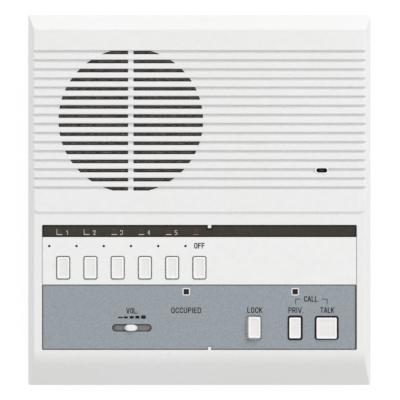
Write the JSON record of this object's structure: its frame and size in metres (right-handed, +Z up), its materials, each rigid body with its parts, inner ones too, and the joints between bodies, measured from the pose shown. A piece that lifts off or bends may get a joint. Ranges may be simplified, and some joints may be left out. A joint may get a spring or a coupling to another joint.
{
  "type": "desk intercom",
  "caption": "Off-white desk intercom: louvred speaker grille above a row of station keys, function keys and a sliding volume knob on a low two-shell case.",
  "frame": {"origin": "middle of the footprint at the level of the desk, under the rubber feet", "axes": "+X to the user's right, +Y towards the louvred speaker end, +Z up out of the face"},
  "size_m": [0.1962, 0.2122, 0.057],
  "materials": {
    "cover_plastic": "moulded off-white plastic, fine satin grain",
    "rear_plastic": "moulded dark grey plastic, coarse grain",
    "foot_rubber": "moulded black rubber",
    "screw_steel": "zinc plated",
    "smoked_window": "smoked, glossy",
    "name_card": "white, satin",
    "control_paint": "fine-textured blue-grey paint",
    "key_plastic": "off-white, semi-gloss, worn tops",
    "plunger_plastic": "natural nylon",
    "speaker_cloth": "dark woven grille cloth",
    "plated_steel": "passivated",
    "magnet_ferrite": "ferrite with plated yokes",
    "cone_paper": "pressed paper pulp",
    "dust_cap_paper": "pressed paper",
    "tag_card": "phenolic card",
    "capsule_metal": "drawn can with felt front",
    "boot_rubber": "moulded rubber",
    "circuit_board": "brown phenolic laminate",
    "switch_plastic": "black moulding",
    "latch_steel": "bright strip",
    "pot_case": "grey-brown case",
    "slider_plastic": "warm grey nylon",
    "knob_plastic": "white, polished by use",
    "lamp_lens": "dark red translucent",
    "lamp_glass": "clear bulb",
    "core_iron": "varnished laminations",
    "coil_tape": "yellow winding tape",
    "capacitor_sleeve": "shrink sleeve",
    "transistor_case": "moulded epoxy",
    "terminal_plastic": "moulded phenolic",
    "terminal_brass": "plated brass",
    "lead_sheath": "grey sheath",
    "ribbon_sheath": "grey flat sheath",
    "spring_steel": "bright music wire"
  },
  "bodies": {
    "base": {"front_cover": "cover_plastic", "rear_cover": "rear_plastic", "rubber_feet": "foot_rubber", "case_screws": "screw_steel", "lamp_window": "smoked_window", "name_plate": "name_card", "control_plate": "control_paint", "speaker_cloth": "speaker_cloth", "speaker_basket": "plated_steel", "speaker_magnet": "magnet_ferrite", "speaker_cone": "cone_paper", "speaker_dust_cap": "dust_cap_paper", "speaker_terminal": "tag_card", "speaker_clamps": "plated_steel", "speaker_screws": "screw_steel", "microphone_capsule": "capsule_metal", "microphone_boot": "boot_rubber", "main_board": "circuit_board", "board_screws": "screw_steel", "switch_frame": "plated_steel", "station_switches": "switch_plastic", "function_switches": "switch_plastic", "volume_pot": "pot_case", "station_lenses": "lamp_lens", "indicator_lenses": "lamp_lens", "lamp_board": "circuit_board", "signal_lamps": "lamp_glass", "lamp_sleeves": "boot_rubber", "amplifier_board": "circuit_board", "transformer_core": "core_iron", "transformer_coil": "coil_tape", "capacitors": "capacitor_sleeve", "transistors": "transistor_case", "terminal_block": "terminal_plastic", "terminal_screws": "terminal_brass", "speaker_lead": "lead_sheath", "microphone_lead": "lead_sheath", "board_ribbon": "ribbon_sheath", "key_springs": "spring_steel"},
    "station_1": {"station_key_1": "key_plastic", "station_plunger_1": "plunger_plastic"},
    "station_2": {"station_key_2": "key_plastic", "station_plunger_2": "plunger_plastic"},
    "station_3": {"station_key_3": "key_plastic", "station_plunger_3": "plunger_plastic"},
    "station_4": {"station_key_4": "key_plastic", "station_plunger_4": "plunger_plastic"},
    "station_5": {"station_key_5": "key_plastic", "station_plunger_5": "plunger_plastic"},
    "off": {"off_key": "key_plastic", "off_plunger": "plunger_plastic"},
    "lock": {"lock_key": "key_plastic", "lock_plunger": "plunger_plastic"},
    "private": {"private_key": "key_plastic", "private_plunger": "plunger_plastic"},
    "talk": {"talk_key": "key_plastic", "talk_plunger": "plunger_plastic"},
    "volume": {"volume_slider": "slider_plastic", "volume_knob": "knob_plastic"},
    "latch": {"latch_bar": "latch_steel"}
  },
  "joints": [
    {"name": "station_1_press", "type": "slide", "parent": "base", "child": "station_1", "axis": [0, 0, -1], "range_m": [0, 0.003], "stiffness_N_per_m": 250, "springref_m": -0.002, "deforming": ["key_springs"]},
    {"name": "station_2_press", "type": "slide", "parent": "base", "child": "station_2", "axis": [0, 0, -1], "range_m": [0, 0.003], "stiffness_N_per_m": 250, "springref_m": -0.002, "deforming": ["key_springs"]},
    {"name": "station_3_press", "type": "slide", "parent": "base", "child": "station_3", "axis": [0, 0, -1], "range_m": [0, 0.003], "stiffness_N_per_m": 250, "springref_m": -0.002, "deforming": ["key_springs"]},
    {"name": "station_4_press", "type": "slide", "parent": "base", "child": "station_4", "axis": [0, 0, -1], "range_m": [0, 0.003], "stiffness_N_per_m": 250, "springref_m": -0.002, "deforming": ["key_springs"]},
    {"name": "station_5_press", "type": "slide", "parent": "base", "child": "station_5", "axis": [0, 0, -1], "range_m": [0, 0.003], "stiffness_N_per_m": 250, "springref_m": -0.002, "deforming": ["key_springs"]},
    {"name": "off_press", "type": "slide", "parent": "base", "child": "off", "axis": [0, 0, -1], "range_m": [0, 0.003], "stiffness_N_per_m": 250, "springref_m": -0.002, "deforming": ["key_springs"]},
    {"name": "lock_press", "type": "slide", "parent": "base", "child": "lock", "axis": [0, 0, -1], "range_m": [0, 0.003], "stiffness_N_per_m": 250, "springref_m": -0.002, "deforming": ["key_springs"]},
    {"name": "private_press", "type": "slide", "parent": "base", "child": "private", "axis": [0, 0, -1], "range_m": [0, 0.0025], "stiffness_N_per_m": 250, "springref_m": -0.002, "deforming": ["key_springs"]},
    {"name": "talk_press", "type": "slide", "parent": "base", "child": "talk", "axis": [0, 0, -1], "range_m": [0, 0.0025], "stiffness_N_per_m": 250, "springref_m": -0.002, "deforming": ["key_springs"]},
    {"name": "volume_slide", "type": "slide", "parent": "base", "child": "volume", "axis": [1, 0, 0], "range_m": [-0.00675, 0.00785]},
    {"name": "latch_slide", "type": "slide", "parent": "base", "child": "latch", "axis": [-1, 0, 0], "range_m": [0, 0.0015], "stiffness_N_per_m": 200, "springref_m": -0.001}
  ]
}
